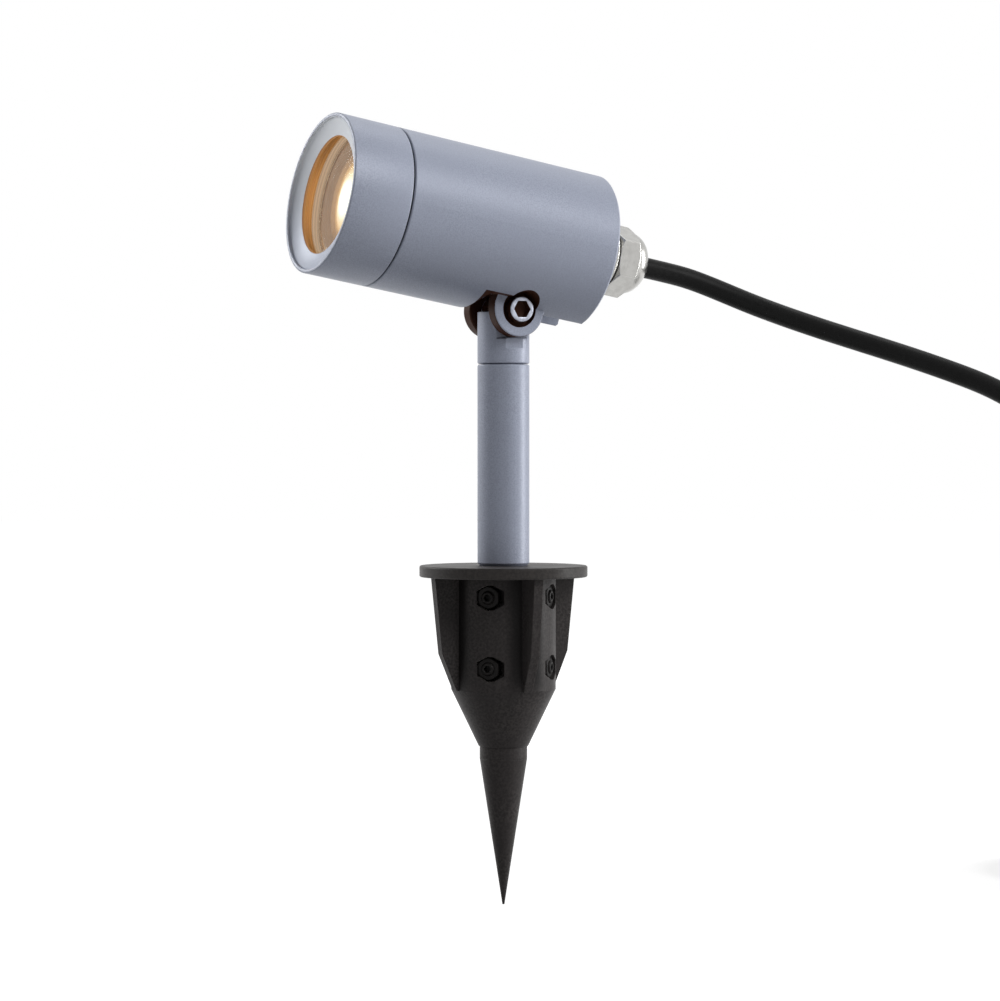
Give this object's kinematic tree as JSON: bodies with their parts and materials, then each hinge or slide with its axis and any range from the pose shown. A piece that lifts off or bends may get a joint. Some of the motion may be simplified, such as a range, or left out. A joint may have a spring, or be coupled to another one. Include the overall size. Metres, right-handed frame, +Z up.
{
  "type": "landscape spotlight",
  "caption": "Landscape spotlight with a round swivelling and tilting head on a short post, a flange and a finned ground spike, fed by a rubber cable with a mains plug.",
  "frame": {"origin": "on the post's axis, in the plane of the flange's underside, which is where the ground comes to", "axes": "+Z up along the post, -Y the way that the head shines, +X along the tilt axis"},
  "size_m": [0.1487, 0.4423, 0.2957],
  "materials": {
    "painted_aluminium": "satin",
    "nickel_plate": "polished",
    "stainless": "satin",
    "plated_steel": "satin",
    "black_steel": "satin",
    "spike_moulding": "satin",
    "disc_moulding": "matte",
    "acetal": "satin",
    "seal_rubber": "matte",
    "cable_rubber": "satin",
    "safety_glass": "gloss",
    "lamp_metal": "satin",
    "lamp_optic": "gloss",
    "lamp_plastic": "satin",
    "holder_ceramic": "matte",
    "block_plastic": "satin",
    "core_insulation": "satin",
    "lead_sleeve": "matte"
  },
  "bodies": {
    "spike": {"post_tube": "painted_aluminium", "swivel_bush": "acetal", "post_core": "plated_steel", "flange_disc": "disc_moulding", "spike_hub": "spike_moulding", "clamping_nuts": "black_steel", "clamping_screws": "black_steel", "spike_point": "spike_moulding"},
    "swivel": {"swivel_stem": "painted_aluminium", "pivot_screws": "stainless", "pivot_washers": "stainless", "spigot_clip": "plated_steel", "supply_cable": "cable_rubber", "cable_coil": "cable_rubber", "coil_tie": "seal_rubber", "plug_lead": "cable_rubber", "plug_body": "cable_rubber", "plug_boot": "cable_rubber", "plug_pins": "nickel_plate", "plug_earth_clips": "nickel_plate"},
    "head": {"head_housing": "painted_aluminium", "bezel_oring": "seal_rubber", "lamp_reflector": "lamp_metal", "lamp_rings": "lamp_metal", "lamp_lens": "lamp_optic", "lamp_base": "lamp_plastic", "lamp_pins": "nickel_plate", "lamp_holder": "holder_ceramic", "holder_strap": "plated_steel", "strap_screws": "plated_steel", "terminal_block": "block_plastic", "core_wires": "core_insulation", "lamp_leads": "lead_sleeve", "gland_body": "nickel_plate", "gland_cap_nut": "nickel_plate", "gland_seal": "seal_rubber", "gland_washer": "seal_rubber", "gland_lock_nut": "nickel_plate", "cable_tail": "cable_rubber"},
    "lens_carrier": {"lens_glass": "safety_glass", "glass_gasket": "seal_rubber"},
    "bezel": {"bezel_ring": "painted_aluminium"}
  },
  "joints": [
    {"name": "head_pan", "type": "hinge", "parent": "spike", "child": "swivel", "pos_m": [0, 0, 0.08], "axis": [0, 0, 1], "range_deg": [-170, 170]},
    {"name": "head_tilt", "type": "hinge", "parent": "swivel", "child": "head", "pos_m": [0, 0, 0.1004], "axis": [-1, 0, 0], "range_deg": [-30, 75], "deforming": ["supply_cable"]},
    {"name": "bezel_travel", "type": "slide", "parent": "head", "child": "lens_carrier", "axis": [0, -0.9848, 0.1736], "range_m": [0, 0.0081]},
    {"name": "bezel_turn", "type": "hinge", "parent": "lens_carrier", "child": "bezel", "pos_m": [0, -0.05186, 0.13798], "axis": [0, -0.9848, 0.1736], "range_deg": [0, 1440]}
  ],
  "couplings": [
    {"joint": "bezel_travel", "follows": "bezel_turn", "m_per_rad": 0.00031831}
  ]
}
